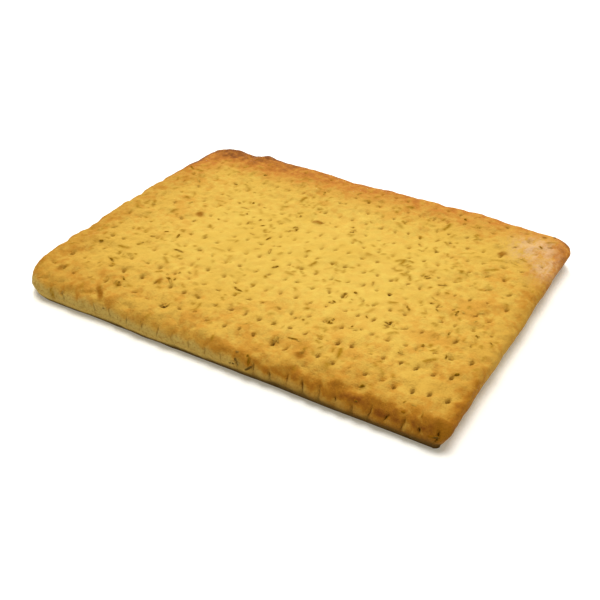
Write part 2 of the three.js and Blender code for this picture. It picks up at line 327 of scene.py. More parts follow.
slit_draw = np.random.default_rng(SLIT_SEED)
border_pitch = np.tile(half_pitches, (rows_y, 1)).ravel()[border]
border_row = np.tile(half_rows[:, None], (1, columns_x)).ravel()[border]
on_front = border_row == 0
on_long_side = on_front | (border_row == half_rows[-1])
counted = np.where(on_long_side, border_pitch, border_row)
nearest = 2 * np.round((counted - 1) / 2) + 1
half_step = np.where(on_long_side, HALF_PITCH, HALF_ROW)
from_slit = (counted - nearest) * half_step
side = np.select([on_front, ~on_long_side & (border_pitch > 0), on_long_side], [0, 1, 2], 3)
slit_of = (side * (2 * COLUMNS + 2) + nearest).astype(int)
slits = slit_of.max() + 1
slit_share = SLIT_SHARES @ facing
slit_depth = np.interp(outer_x, SLIT_PLACES, SLIT_DEPTHS) * slit_share
slit_depth *= slit_draw.normal(1, DEPTH_SPREAD, slits).clip(LEAST_DEPTH)[slit_of]
slit_width = slit_draw.uniform(*SLIT_WIDTH, slits)[slit_of]
slit_bow = slit_draw.normal(0, SLIT_BOW, slits)[slit_of]
groove_depth = slit_draw.uniform(*GROOVE, slits)[slit_of] * np.interp(outer_x, SLIT_PLACES, GROOVE_SHARES)
slit_top = slit_draw.uniform(*SLIT_TOP, slits)[slit_of]
slit_foot = slit_draw.uniform(*SLIT_FOOT, slits)[slit_of]
slit_lean = np.interp(outer_x, SLIT_PLACES, SLIT_LEANS) + slit_draw.normal(0, LEAN_SPREAD, slits)[slit_of]
in_slit = ease(*FOOT_FADE, ring_z - slit_foot) * (1 - ease(*TOP_FADE, ring_z - slit_top))
up_share = np.clip((ring_z - slit_foot) / (slit_top - slit_foot), 0, 1)
slit_width_there = slit_width * part_way(FOOT_WIDTH, TOP_WIDTH, up_share)
slit = in_slit * np.exp(-((from_slit / slit_width_there) ** 2))
below_top = 1 - ease(slit_top, slit_top + GROOVE_BEYOND, ring_z)
by_slit = ease(slit_foot - GROOVE_BEYOND, slit_foot, ring_z) * below_top
groove = groove_depth * slit_share * by_slit
groove *= np.exp(-(((from_slit + GROOVE_BEFORE) / GROOVE_WIDTH) ** 2))
# The mesh is sheared along the side, so that its close lines follow each slit
up_slit = (ring_z - slit_foot).clip(*LEAN_SPAN)
shear = SLIT_ASIDE + slit_lean * up_slit
shear += slit_bow * np.sin(math.pi * up_slit.clip(0, BOW_HEIGHT) / BOW_HEIGHT)
shear *= slit_share * below_top * (1 + np.cos(math.pi * from_slit / half_step)) / 2
ring_x -= shear * out_y
ring_y += shear * out_x

# All points of the sheet as they lie before they swell, which way each one swells, how far in it is, and at
# what share of a turn round the middle
top_points = np.stack([top_x, top_y, crust_height(top_x, top_y)], axis=-1).reshape(-1, 3)
bare = np.concatenate([top_points, np.stack([ring_x, ring_y, ring_z], axis=-1).reshape(-1, 3)])
swell_way = np.concatenate([np.tile((0.0, 0.0, 1.0), (top_x.size, 1)), ring_out.reshape(-1, 3)])
bare_x, bare_y, bare_z = bare.T
inside_x = LENGTH / 2 - np.abs(bare_x)
inside_y = DEPTH / 2 - np.abs(bare_y)
radius = by_corner(bare_x, bare_y, CORNER_RADII)
corner_x = np.maximum(radius - inside_x, 0)
corner_y = np.maximum(radius - inside_y, 0)
in_corner = (corner_x > 0) & (corner_y > 0)
inside = np.where(in_corner, radius - np.hypot(corner_x, corner_y), np.minimum(inside_x, inside_y))
turned = np.arctan2(bare_y / DEPTH, bare_x / LENGTH) / TURN % 1


def all_over(on_top, on_rings):
    """A value for each point of the sheet, from those of the top and those of the rings below it."""
    top_values = np.broadcast_to(on_top, top_x.shape)
    ring_values = np.broadcast_to(on_rings, ring_z.shape)
    return np.concatenate([top_values.ravel(), ring_values.ravel()])


def round_the_rim(values):
    """A value for each point, from values set evenly round the sheet, anticlockwise from its right side."""
    return np.interp(turned, np.linspace(0, 1, len(values) + 1), (*values, values[0]))


# The crust's lumps, in layers of size and rise. They are calmer in the middle and on the walls.
LUMP_LAYERS = ((28, 1.2), (13, 1.4), (6.5, 1.4), (3.6, 0.8))
LUMP_SEED = 30
LUMP_CELLS = 64
CALM_MIDDLE = 0.48
CALM_WALL = 0.65
CALM_WALL_POWER = 4
# The share of the lumps that the rim keeps, from the right side anticlockwise, and where the rim begins
LUMPS_ROUND = (0.7, 0.5, 0.35, 0.35, 0.5, 0.8, 1, 1)
LUMP_RIM = (40, 14)
# Patches that make the borders of browning ragged, and how far in the outer part of the crust reaches
PATCH_LAYERS = ((16, 1), (7, 0.5))
PATCH_SEED = 50
OUTER_FADE = (120, 18)
OUTER_RAGGED = 12
# At the rim the crust swells in lobes with sharp creases between them, above the foot of the wall
LOBE_SIZE = 14
LOBE_SEED = 40
LOBE_RISE = 3.6
LOBE_MEAN = 0.3
LOBES_ROUND = (0.2, 0.2, 0.25, 0.3, 0.35, 0.7, 1, 0.6)
LOBE_RIM = (45, 12)
LOBE_ABOVE = (3, 11)
# How far the rim rises along the back, by X, and along the left, by Y
BACK_PLACES = (-190, -177, -143, -131, -121, -95, -60, -15, 60, 110, 190)
BACK_RISES = (-0.2, 2.9, 2, 6, 3.6, 2.6, 1.8, 0.8, 2.4, 1.3, -0.8)
LEFT_PLACES = (-128, -104, -84, -64, -48, -20, 20, 50, 110)
LEFT_RISES = (-0.7, 2.2, 0.8, -0.5, 1.6, 3.2, 2.4, 1, -0.8)
RISE_RIM = (40, 12)
RISE_ABOVE = (8, 16)


def lumps(points, size, seed):
    """Smooth random swells from -1 to 1, about size across, at places in space."""
    draw = np.random.default_rng(seed)
    table = draw.uniform(-1, 1, (LUMP_CELLS, LUMP_CELLS, LUMP_CELLS))
    askew = np.linalg.qr(draw.normal(size=(3, 3)))[0]
    cell = points @ askew / size
    low = np.floor(cell).astype(int)
    share = ease(0, 1, cell - low)
    total = np.zeros(points.shape[:-1])
    for corner in np.ndindex(2, 2, 2):
        place = (low + corner) % LUMP_CELLS
        weight = np.prod(np.where(corner, share, 1 - share), axis=-1)
        total += weight * table[place[..., 0], place[..., 1], place[..., 2]]
    return total


def layered_lumps(layers, first_seed):
    """Swells of several sizes and rises, added up, at each point of the sheet."""
    return sum(rise * lumps(bare, size, seed) for seed, (size, rise) in enumerate(layers, first_seed))


patchy = layered_lumps(PATCH_LAYERS, PATCH_SEED)
outer = ease(*OUTER_FADE, inside + OUTER_RAGGED * patchy)
relief = layered_lumps(LUMP_LAYERS, LUMP_SEED)
relief *= part_way(CALM_MIDDLE, 1, outer)
relief *= 1 - (1 - round_the_rim(LUMPS_ROUND)) * ease(*LUMP_RIM, inside)
lobes = (np.abs(lumps(bare, LOBE_SIZE, LOBE_SEED)) - LOBE_MEAN) * round_the_rim(LOBES_ROUND)
relief += LOBE_RISE * lobes * ease(*LOBE_RIM, inside) * ease(*LOBE_ABOVE, bare_z)
back_rim = ease(*RISE_RIM, DEPTH / 2 - bare_y) * ease(*RISE_ABOVE, bare_z)
relief += back_rim * np.interp(bare_x, BACK_PLACES, BACK_RISES)
left_rim = ease(*RISE_RIM, LENGTH / 2 + bare_x) * ease(*RISE_ABOVE, bare_z)
relief += left_rim * np.interp(bare_y, LEFT_PLACES, LEFT_RISES)
relief *= 1 - CALM_WALL * all_over(0, flat_part**CALM_WALL_POWER)

# Blisters, brown patches and a dent that this bread has: x, y, half size along X and Y, rise, how toasted,
# and for one of them its lean
MARKS = (
    (-117, 7, 5.5, 4.5, 0.7, 0.8),
    (150, 86, 4.8, 4.5, 0.6, 0.85),
    (71, -132, 5.5, 5, 1.0, 0.8),
    (-79, -105, 3.5, 7.5, 0.5, 0.75),
    (-15, 49, 6.5, 3.5, 0.8, 0.9),
    (-114, -141, 4, 8, -1.2, 0.95, -0.8),
    (-167, -129, 4, 4, -0.4, 0.75),
    (195, -149, 9, 10, 0, 0.9),
    (61, -74, 8, 7, 1.0, 0),
    (124, -73, 9, 8, 0.8, 0),
    (54, 21, 22, 10, 0.2, 0.3),
    (107, 24, 34, 6, 0.1, 0.25),
    (-120, -60, 30, 14, 0.2, 0.22),
    (20, -115, 24, 9, 0.2, 0.25),
    (140, -95, 18, 12, 0.2, 0.22),
    (-60, 120, 30, 8, 0.2, 0.25),
)
MARK_POWER = 1.2
MARKS_ABOVE = (7, 12)
# Small toasted spots all over
SPOT_SEED = 3
SPOTS = 70
SPOT_SIZE = (1.5, 4)
SPOT_RISE = (0, 0.4)
SPOT_TOAST = (0.1, 0.5)


def in_mark(x, y, size_x, size_y, lean=0):
    """How far each point of the sheet is in a mark, 1 in its middle."""
    off_y = bare_y - y
    off_x = bare_x - x - lean * off_y
    return np.exp(-(((off_x / size_x) ** 2 + (off_y / size_y) ** 2) ** MARK_POWER))


spot_draw = np.random.default_rng(SPOT_SEED)
marks = list(MARKS)
for _ in range(SPOTS):
    spot_place = spot_draw.uniform(-0.5, 0.5, 2) * (LENGTH, DEPTH)
    spot_size = spot_draw.uniform(*SPOT_SIZE, 2)
    marks.append((*spot_place, *spot_size, spot_draw.uniform(*SPOT_RISE), spot_draw.uniform(*SPOT_TOAST)))
toasted = np.zeros(len(bare))
for x, y, size_x, size_y, rise, toast, *lean in marks:
    spread = in_mark(x, y, size_x, size_y, *lean) * ease(*MARKS_ABOVE, bare_z)
    relief += rise * spread
    toasted = np.maximum(toasted, toast * spread)

# The rosemary is in the dough, so it is placed here, where it lifts and stains the crust. These are the
# needles that the solid has too, drawn in the same way.
NEEDLE_SEED = 20
NEEDLE_SHARE = 0.24
NEEDLE_LENGTH = (6, 12)
NEEDLE_WIDTH = (1.4, 2)
NEEDLE_WANDER = 2
DRAW_FACTOR = 1664525
DRAW_STEP = 1013904223
DRAW_RANGE = 2**32


class SeededDraws:
    """The repeatable run of draws that also places the needles of the solid."""

    def __init__(self, seed):
        self.state = seed

    def between(self, low, high):
        self.state = (self.state * DRAW_FACTOR + DRAW_STEP) % DRAW_RANGE
        return low + (high - low) * self.state / DRAW_RANGE


# A needle is x, y, heading, length, width, and how deep it lies, from 0 on the crust to 1 under its skin
BIT_SEED = 5
bit_draw = np.random.default_rng(BIT_SEED)
needles = []
draws = SeededDraws(NEEDLE_SEED)
for row in range(1, ROWS):
    for column in range(COLUMNS):
        chosen = draws.between(0, 1) < NEEDLE_SHARE
        wander_x = draws.between(-NEEDLE_WANDER, NEEDLE_WANDER)
        wander_y = draws.between(-NEEDLE_WANDER, NEEDLE_WANDER)
        heading = draws.between(0, math.pi)
        length = draws.between(*NEEDLE_LENGTH)
        width = draws.between(*NEEDLE_WIDTH)
        if chosen:
            pattern_x = (2 * column + 1) * HALF_PITCH - FIELD_HALF_X
            pattern_y = 2 * row * HALF_ROW - FIELD_HALF_Y
            x, y = settle(pattern_x + wander_x, pattern_y + wander_y)
            needles.append((x, y, heading, length, width, bit_draw.random()))

# Smaller bits of needle fell in clumps, and are spread evenly over the rest, deeper at the left
BIT_LENGTH = (2.5, 6)
BIT_WIDTH = (1.2, 2)
BITS_ACROSS = 14
BITS_DEEP = 11
LEFT_UNDER = 0.4
# Clumps: x, y, number of bits and spread. Their bits lie on the crust, no deeper than this.
CLUMP_DEEPEST = 0.36
CLUMPS = (
    (112, 17, 3, 2),
    (47, -124, 4, 2.5),
    (111, -64, 5, 2.5),
    (60, -62, 3, 4),
    (47, -90, 3, 2.5),
    (70, -86, 5, 3),
    (87, -81, 2, 2),
    (147, -78, 3, 3),
    (163, -142, 3, 2.5),
    (179, -40, 4, 6),
    (68, -43, 4, 5),
    (133, -22, 3, 3),
    (156, -19, 2, 2),
    (-105, -125, 5, 3),
    (-55, -131, 3, 1.5),
    (-125, -50, 5, 7),
    (-76, -92, 4, 6),
    (-163, -82, 2, 2),
    (-70, 20, 4, 5),
    (-86, 45, 3, 6),
    (22, 54, 3, 5),
    (-29, 27, 3, 4),
    (168, 87, 2, 2),
    (40, -152, 5, 6),
)
# Clumps just under the skin, wider along X than along Y, and how deep their bits lie
SUNK_CLUMPS = (
    (80, 26, 6, 8),
    (92, 9, 5, 6),
    (132, 38, 6, 8),
    (127, 100, 3, 8),
    (30, 40, 4, 6),
    (10, 110, 3, 8),
)
SUNK_UNDER = (0.4, 0.6)
# Lone bits on the crust at the back left: x, y
LONE_BITS = (
    (-135, 100),
    (-108, 107),
    (-124, 77),
    (-115, 84),
    (-87, 82),
    (-98, 71),
    (-74, 51),
    (-98, 9),
    (-138, 21),
    (-167, 1),
    (-35, 52),
    (-43, 72),
    (-39, 106),
    (-117, 53),
)
places = []
for x, y, number, spread in CLUMPS:
    places += [(*bit_draw.normal((x, y), spread), 0, CLUMP_DEEPEST) for _ in range(number)]
for x, y, number, spread in SUNK_CLUMPS:
    places += [(*bit_draw.normal((x, y), (spread, spread / 2)), *SUNK_UNDER) for _ in range(number)]
for across in range(BITS_ACROSS):
    for along in range(BITS_DEEP):
        share = (np.array([across, along]) + bit_draw.random(2)) / (BITS_ACROSS, BITS_DEEP)
        x, y = (share - 0.5) * (LENGTH - LEFT, DEPTH - FRONT)
        places.append((x, y, LEFT_UNDER * (1 - share[0]), 1))
places += [(x, y, 0, CLUMP_DEEPEST) for x, y in LONE_BITS]
for x, y, shallowest, deepest in places:
    heading = bit_draw.uniform(0, math.pi)
    length = bit_draw.uniform(*BIT_LENGTH)
    width = bit_draw.uniform(*BIT_WIDTH)
    needles.append((x, y, heading, length, width, bit_draw.uniform(shallowest, deepest)))

# Needles deeper than this lie under the skin, lift it in soft ridges and show through it
BARE_TO = 0.38
RIDGE = (0.2, 0.55)
RIDGE_WIDTH = 0.65
# A bare needle stains the crust round it, less the deeper it lies
HALO_WIDTH = 0.7
HALO = 0.5
HALO_LOSS = 0.6
# Fine bits show through the skin as strokes, some of them in knots of a few
STROKE_SEED = 9
STROKES = 520
KNOTTED_SHARE = 0.45
KNOT_SPREAD = 5
STROKE_LENGTH = (0.3, 4)
STROKE_WIDTH = (0.6, 1.1)
STROKE_SHADE = (0.15, 0.9)
STROKES_ABOVE = (6, 9)
stroke_draw = np.random.default_rng(STROKE_SEED)
strokes = []
for x, y, heading, length, width, under in needles:
    if under > BARE_TO:
        shown = 1 - (under - BARE_TO) / (1 - BARE_TO)
        ridge = stroke_draw.uniform(*RIDGE)
        strokes.append((x, y, heading, length - width, RIDGE_WIDTH * width, ridge, shown))
    else:
        halo = HALO * (1 - HALO_LOSS * under / BARE_TO)
        strokes.append((x, y, heading, length - width, HALO_WIDTH * width, 0, halo))
knot = np.zeros(2)
for _ in range(STROKES):
    if stroke_draw.random() > KNOTTED_SHARE:
        knot = stroke_draw.uniform(-0.5, 0.5, 2) * (LENGTH, DEPTH)
    x, y = knot + stroke_draw.normal(0, KNOT_SPREAD, 2)
    heading = stroke_draw.uniform(0, math.pi)
    length = stroke_draw.uniform(*STROKE_LENGTH)
    width = stroke_draw.uniform(*STROKE_WIDTH)
    strokes.append((x, y, heading, length, width, 0, stroke_draw.uniform(*STROKE_SHADE)))
stain = np.zeros(len(bare))
for x, y, heading, length, width, ridge, shown in strokes:
    along = (bare_x - x) * math.cos(heading) + (bare_y - y) * math.sin(heading)
    across = (bare_y - y) * math.cos(heading) - (bare_x - x) * math.sin(heading)
    beyond = np.maximum(np.abs(along) - length / 2, 0)
    stroke = soft_spot(across, beyond, (width, width)) * ease(*STROKES_ABOVE, bare_z)
    relief += ridge * stroke
    stain = np.maximum(stain, shown * stroke)

# The skin is the whole relief without its holes, which are pushed in after it. Dough bulges beside a slit,
# and near the tray the relief fades out.
SLIT_RIM = 0.6
SLIT_RIM_AT = 2.1
SLIT_RIM_WIDTH = 0.9
# How dark a slit is painted, for its darker crumb and painted shade inside it
SLIT_BROWN_AND_SHADE = 1.1
RELIEF_ABOVE = (0, 3)
# One hole tore wide open: x, y, half size along X and Y, lean
TORN_HOLE = (-56, -132, 2.6, 2, 0.4)
TORN_DEPTH = 2.5
# The foot of the wall stands off the tray here and there
FOOT_LIFT = 1
FOOT_SPAN = 14
FOOT_SEED = 60
slit_rim = in_slit * slit_share * np.exp(-(((from_slit - SLIT_RIM_AT) / SLIT_RIM_WIDTH) ** 2))
relief += all_over(-dimples, SLIT_RIM * slit_rim - groove)
relief *= ease(*RELIEF_ABOVE, bare_z)
torn = in_mark(*TORN_HOLE)
holes = all_over(sunk, slit_depth * slit) + TORN_DEPTH * torn
# Holes, slits and the torn hole are painted dark: darker crumb, and painted shade down in them
hole_brown_and_shade = np.maximum(all_over(pits, SLIT_BROWN_AND_SHADE * slit * slit_depth / max(SLIT_DEPTHS)), torn)
skin = bare + relief[:, None] * swell_way
foot_ring = len(bare) - 2 * len(border) + np.arange(len(border))
skin[foot_ring, 2] += FOOT_LIFT * np.clip(lumps(bare[foot_ring], FOOT_SPAN, FOOT_SEED), 0, None)
pricked = skin - holes[:, None] * swell_way

# The faces: the grid of the top, the bands between rings, and the underside
quads = [np.stack([index[:-1, :-1], index[:-1, 1:], index[1:, 1:], index[1:, :-1]], axis=-1).reshape(-1, 4)]
upper = border
for ring in range(len(ring_x)):
    lower = index.size + ring * len(border) + np.arange(len(border))
    quads.append(np.stack([upper, lower, np.roll(lower, -1), np.roll(upper, -1)], axis=-1))
    upper = lower
quads = np.concatenate(quads)
underside = upper[::-1]


def mesh_piece(name, points, faces, masks):
    """A smooth mesh of points in millimetres, with a value at each point for each named mask."""
    mesh = bpy.data.meshes.new(name)
    mesh.from_pydata((points * MM).tolist(), [], faces)
    mesh.shade_smooth()
    for mask, values in masks.items():
        mesh.attributes.new(mask, "FLOAT", "POINT").data.foreach_set("value", values.astype(np.float32))
    piece = bpy.data.objects.new(name, mesh)
    bpy.context.scene.collection.objects.link(piece)
    return piece


# How the oven coloured it: brown on the broad rim and on its very edge, most at the back left corner. Both
# lists run from the right side anticlockwise, and so do the widths of the rim.
RIM_BROWNING = (0.35, 0.55, 0.8, 0.75, 0.85, 0.95, 1.6, 0.6, 0.4, 0.6, 0.6, 0.15, 0.1, 0.58, 0.42, 0.25)
EDGE_BROWNING = (0.15, 0.25, 0.65, 0.4, 0.4, 0.5, 2.4, 0.3, 0.05, 0.1, 0.2, 0.3, 0.6, 0.55, 1.05, 0.05)
RIM_WIDTHS = (20, 55, 75, 65, 40, 60, 44, 46)
RIM_FULL = 4
RIM_RAGGED = 6
EDGE_FADE = (14, 1)
EDGE_RAGGED = 2
BROWNEST = 2.1
# What stands proud by this browns more, the pale wall browns less, and a stain is lost in deep browning
PROUD = 1.5
PROUD_BROWNING = (0.85, 1.15)
WALL_SPARED = 0.9
STAIN_LOST = (0.5, 1.1)
# Towards the back the browning is more amber: painted light, where the back faces the lamps and the front
# lies in shade
LIT_BACK = (20, 120)
# By X: how high the pale dough of the wall reaches and how pale it is, and how high and dark the
# foot is painted: browned by the tray, and darker as painted shade where the wall tucks in over the floor
WALL_PLACES = (-200, 0, 70, 130, 165, 200)
WALL_TOPS = (17, 16, 15, 14.5, 14, 14)
WALL_PALENESS = (1, 0.9, 0.65, 0.5, 0.3, 0.15)
BASE_TOPS = (4, 8.5, 14, 12.5, 13.5, 15)
BASE_SHADE = (0.85, 1, 1, 1, 1, 1)
# Sides other than the front have a low dark foot, browned and with painted shade
OTHER_BASE_TOP = 5
BASE_FULL = 0.35
UNDERSIDE_BROWNING = 0.4
# The pale dough fades out from the first height below its top, or the second in front, to the third above
# it. Its top climbs and drops from slit to slit, and dough stretched beside a slit is pale too.
WALL_FADE = (8, 3, 2.5)
WALL_RAGGED = 1.5
WALL_AT_SLIT = 1.7
JUMP_WIDTH = 1.2
STRETCHED_PALENESS = 0.6
# Flour from the bench stuck at one corner, and some patches stayed pale: x, y, half size along X and Y
FLOURED = ((172, 109, 20, 24), (188, 87, 10, 25))
PALE_PATCHES = ((12, 76, 30, 22), (61, -74, 8, 7), (124, -73, 9, 8), (46, -110, 9, 9))
sawtooth = np.sign(from_slit) * (1 - np.abs(from_slit) / half_step)
sawtooth *= 1 - np.exp(-((from_slit / JUMP_WIDTH) ** 2))
scallop = all_over(0, WALL_AT_SLIT * slit_share * sawtooth)
wall_top = np.interp(bare_x, WALL_PLACES, WALL_TOPS) + scallop
in_front = all_over(0, facing[3])
elsewhere_fade, front_fade, upper_fade = WALL_FADE
fade = part_way(elsewhere_fade, front_fade, in_front)
wall = 1 - ease(-fade, upper_fade, bare_z - wall_top + WALL_RAGGED * patchy)
wall *= np.interp(bare_x, WALL_PLACES, WALL_PALENESS)
wall = np.maximum(wall, STRETCHED_PALENESS * all_over(0, slit_rim))
rim = ease(round_the_rim(RIM_WIDTHS), RIM_FULL, inside + RIM_RAGGED * patchy) * round_the_rim(RIM_BROWNING)
edge = ease(*EDGE_FADE, inside + EDGE_RAGGED * patchy) * round_the_rim(EDGE_BROWNING)
brown = np.minimum(rim + edge, BROWNEST) * (1 - WALL_SPARED * wall)
brown *= part_way(*PROUD_BROWNING, ease(-PROUD, PROUD, relief))
stain *= 1 - ease(*STAIN_LOST, brown)
flour = np.max([in_mark(*patch) for patch in FLOURED], axis=0)
pale = np.max([in_mark(*patch) for patch in PALE_PATCHES], axis=0)
# The lip before each hole is painted pale as well: a painted highlight
pale = np.maximum(pale, all_over(painted_lip_highlight, 0))
# The foot is painted dark: some browning, and painted shade under the tucked-in wall. The underside keeps
# only its browning.
base_top = part_way(OTHER_BASE_TOP, np.interp(bare_x, WALL_PLACES, BASE_TOPS), in_front)
foot_shade_and_browning = (1 - ease(BASE_FULL * base_top, base_top, bare_z)) * np.interp(bare_x, WALL_PLACES, BASE_SHADE)
foot_shade_and_browning[-len(border) :] = UNDERSIDE_BROWNING
crust = mesh_piece(
    "crust",
    pricked,
    quads.tolist() + [underside.tolist()],
    {
        "brown": brown,
        "lit_back": ease(*LIT_BACK, bare_y),
        "wall": wall,
        "outer": outer,
        "toasted": toasted,
        "stain": stain,
        "flour": flour,
        "pale": pale,
        "ramp": all_over(painted_ramp_shade, 0),
        "pit": hole_brown_and_shade,
        "foot_shade_and_browning": foot_shade_and_browning,
    },
)
crust.data.polygons[len(quads)].use_smooth = False
# The edge round the underside is sharp
ends = np.empty(2 * len(crust.data.edges), dtype=int)
crust.data.edges.foreach_get("vertices", ends)
on_foot = np.isin(ends, foot_ring).reshape(-1, 2).all(axis=1)
crust.data.attributes.new("sharp_edge", "BOOLEAN", "EDGE").data.foreach_set("value", on_foot)


def colour(red, green, blue):
    """A colour as a screen shows it, from 0 to 255, as the light that it stands for."""
    shares = [part / 255 for part in (red, green, blue)]
    return (*[s / 12.92 if s <= 0.04045 else ((s + 0.055) / 1.055) ** 2.4 for s in shares], 1)


class Shade:
    """A value or colour in a material, which Python's arithmetic works on by adding nodes."""

    def __init__(self, tree, socket=None):
        self.tree = tree
        self.socket = socket

    def node(self, kind, settings, sockets, output=0):
        """Adds a node, with its settings set first, and gives one of its outputs."""
        made = self.tree.nodes.new(kind)
        for name, value in settings.items():
            setattr(made, name, value)
        for name, value in sockets.items():
            if isinstance(value, Shade):
                self.tree.links.new(value.socket, made.inputs[name])
            else:
                made.inputs[name].default_value = value
        return Shade(self.tree, made.outputs[output])

    def math(self, operation, first, second):
        return self.node("ShaderNodeMath", {"operation": operation}, {0: first, 1: second})

    def __add__(self, other):
        return self.math("ADD", self, other)

    def __sub__(self, other):
        return self.math("SUBTRACT", self, other)

    def __rsub__(self, other):
        return self.math("SUBTRACT", other, self)

    def __mul__(self, other):
        return self.math("MULTIPLY", self, other)

    __radd__ = __add__
    __rmul__ = __mul__

    def mask(self, name):
        """A value that the mesh holds at each point."""
        return self.node("ShaderNodeAttribute", {"attribute_name": name}, {}, "Fac")

    def grain(self, place, size, detail=2.0):
        """Random cloudiness from 0 to 1, with features about size metres across."""
        sockets = {"Vector": place, "Scale": 1 / size, "Detail": detail}
        return self.node("ShaderNodeTexNoise", {}, sockets, "Fac")

    def between(self, low, high):
        """Rises smoothly from 0 where this value is low to 1 where it is high."""
        settings = {"interpolation_type": "SMOOTHSTEP"}
        return self.node("ShaderNodeMapRange", settings, {"Value": self, 1: low, 2: high})

    def tint(self, under, over):
        """The colour over on the colour under, as thick as this value."""
        settings = {"data_type": "RGBA", "clamp_factor": True}
        return self.node("ShaderNodeMix", settings, {0: self, 6: under, 7: over}, 2)

    def bump(self, distance, strength):
        """A surface that this value raises by up to distance metres."""
        return self.node("ShaderNodeBump", {}, {"Height": self, "Distance": distance, "Strength": strength})


def finish(piece, name, build, values):
    """Gives a piece a material: build returns what feeds its shader, and values are the same all over."""
    material = bpy.data.materials.new(name)
    material.use_nodes = True
    tree = material.node_tree
    shader = tree.nodes["Principled BSDF"]
    for socket, value in values.items():
        shader.inputs[socket].default_value = value
    for socket, shade in build(Shade(tree)).items():
        tree.links.new(shade.socket, shader.inputs[socket])
    piece.data.materials.append(material)


GOLD = colour(196, 159, 66)
LIGHT_GOLD = colour(204, 173, 78)
DEEP_GOLD = colour(188, 136, 50)
# Pale crust, and painted highlights on the lips of the holes
PALE_AND_HIGHLIGHT_GOLD = colour(212, 184, 86)
ORANGE_BROWN = colour(163, 108, 25)
AMBER = colour(180, 114, 40)
TOAST_BROWN = colour(138, 88, 12)
DARK_BROWN = colour(116, 62, 9)
# Pale dough of the walls, painted darker as shade on walls that face away from the lamps
WALL_DOUGH_AND_SHADE = colour(180, 153, 79)
FLOUR_DUST = colour(200, 162, 116)
UNDER_SKIN = colour(142, 102, 6)
# Painted shade on the ramps behind the holes
RAMP_PAINTED_SHADE = colour(168, 124, 14)
# Dark brown in the holes and slits: darker crumb, and painted shade
PIT_BROWN_AND_SHADE = colour(110, 72, 0)
# Brown of the underside, and painted shade at the foot of the wall
BASE_BROWN_AND_SHADE = colour(72, 51, 10)
DARK_FLECK = colour(140, 92, 26)
# Sizes of the crust's grain, in metres, and how much the flour's streaks are squeezed along each axis
BROAD_GRAIN = 0.05
BLOTCH_GRAIN = 0.016
STREAK_GRAIN = 0.01
MOTTLE_GRAIN = 0.006
SPECK_GRAIN = 0.0022
PORE_GRAIN = 0.0011
STREAK_SQUEEZE = (2.5, 0.8, 1)
PORE_HEIGHT = 0.001


def baked_crust(shade):
    """Golden crust and pale wall dough, browned, flecked, dusted, toasted and stained in turn, with painted
    shade and highlights.
    """
    place = shade.node("ShaderNodeTexCoord", {}, {}, "Object")
    broad = shade.grain(place, BROAD_GRAIN)
    blotch = shade.grain(place, BLOTCH_GRAIN, 3)
    mottle = shade.grain(place, MOTTLE_GRAIN, 3)
    speck = shade.grain(place, SPECK_GRAIN, 2)
    gold = (broad * 0.5 + blotch * 0.5).between(0.38, 0.62).tint(GOLD, LIGHT_GOLD)
    # Pale patches, and painted highlights on the lips of the holes
    gold = (shade.mask("pale") * mottle.between(0.3, 0.7)).tint(gold, PALE_AND_HIGHLIGHT_GOLD)
    deep = (broad * 0.3 + blotch * 0.4 + mottle * 0.3).between(0.45, 0.6)
    gold = (deep * (shade.mask("outer") * 0.6 + 0.35)).tint(gold, DEEP_GOLD)
    gold = (shade.mask("outer") * 0.3).tint(gold, DEEP_GOLD)
    # Pale dough on the walls, darkened with painted shade
    dough = shade.mask("wall").tint(gold, WALL_DOUGH_AND_SHADE)
    browned = shade.mask("brown") * (blotch * 0.8 + mottle * 1.6 - 0.2)
    # More amber towards the back: painted light
    crust_colour = browned.tint(dough, shade.mask("lit_back").tint(ORANGE_BROWN, AMBER))
    crust_colour = browned.between(0.65, 2.1).tint(crust_colour, DARK_BROWN)
    fleck_share = shade.mask("wall") * 0.35 + shade.mask("outer") * 0.12 + 0.05
    crust_colour = (speck.between(0.45, 0.75) * fleck_share).tint(crust_colour, DARK_FLECK)
    squeezed = shade.node("ShaderNodeVectorMath", {"operation": "MULTIPLY"}, {0: place, 1: STREAK_SQUEEZE})
    streak = shade.grain(squeezed, STREAK_GRAIN, 3)
    dusted = shade.mask("flour") * (blotch * 0.4 + streak * 0.7 + speck * 0.5).between(0.6, 1)
    crust_colour = dusted.tint(crust_colour, FLOUR_DUST)
    toast = (shade.mask("toasted") * (mottle * 1.2 + 0.4)).between(0.1, 0.9)
    crust_colour = toast.tint(crust_colour, TOAST_BROWN)
    crust_colour = (shade.mask("stain") * (speck * 0.8 + 0.6)).tint(crust_colour, UNDER_SKIN)
    # Painted shade on the ramp behind each hole, which slopes away from the lamps
    crust_colour = (shade.mask("ramp") * 0.6).tint(crust_colour, RAMP_PAINTED_SHADE)
    # Painted shade and browning at the foot of the wall, and the browned underside
    crust_colour = (shade.mask("foot_shade_and_browning") * 0.9).tint(crust_colour, BASE_BROWN_AND_SHADE)
    # Painted shade and darker crumb in the holes and slits
    crust_colour = (shade.mask("pit") * 0.95).tint(crust_colour, PIT_BROWN_AND_SHADE)
    pores = shade.grain(place, PORE_GRAIN, 2) * 0.5 + speck * 0.9
    return {
        "Base Color": crust_colour,
        "Roughness": 0.8 - browned * 0.15 + speck * 0.1,
        "Normal": (pores * (shade.mask("outer") * 1.1 + 0.65)).bump(PORE_HEIGHT, 0.5),
    }


finish(crust, "baked_crust", baked_crust, {"Specular IOR Level": 0.05})
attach(crust, "root")
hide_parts("focaccia")

# The rosemary
# Dried needles, folded into the dough before baking: narrow leaves with a groove along the top. Some lie
# bare and dark on the crust and are made here. The others are the ridges and stains in the crust above.
# Each needle is laid along the crust, with a ring of points at each station from tip to tip.
STATIONS = 9
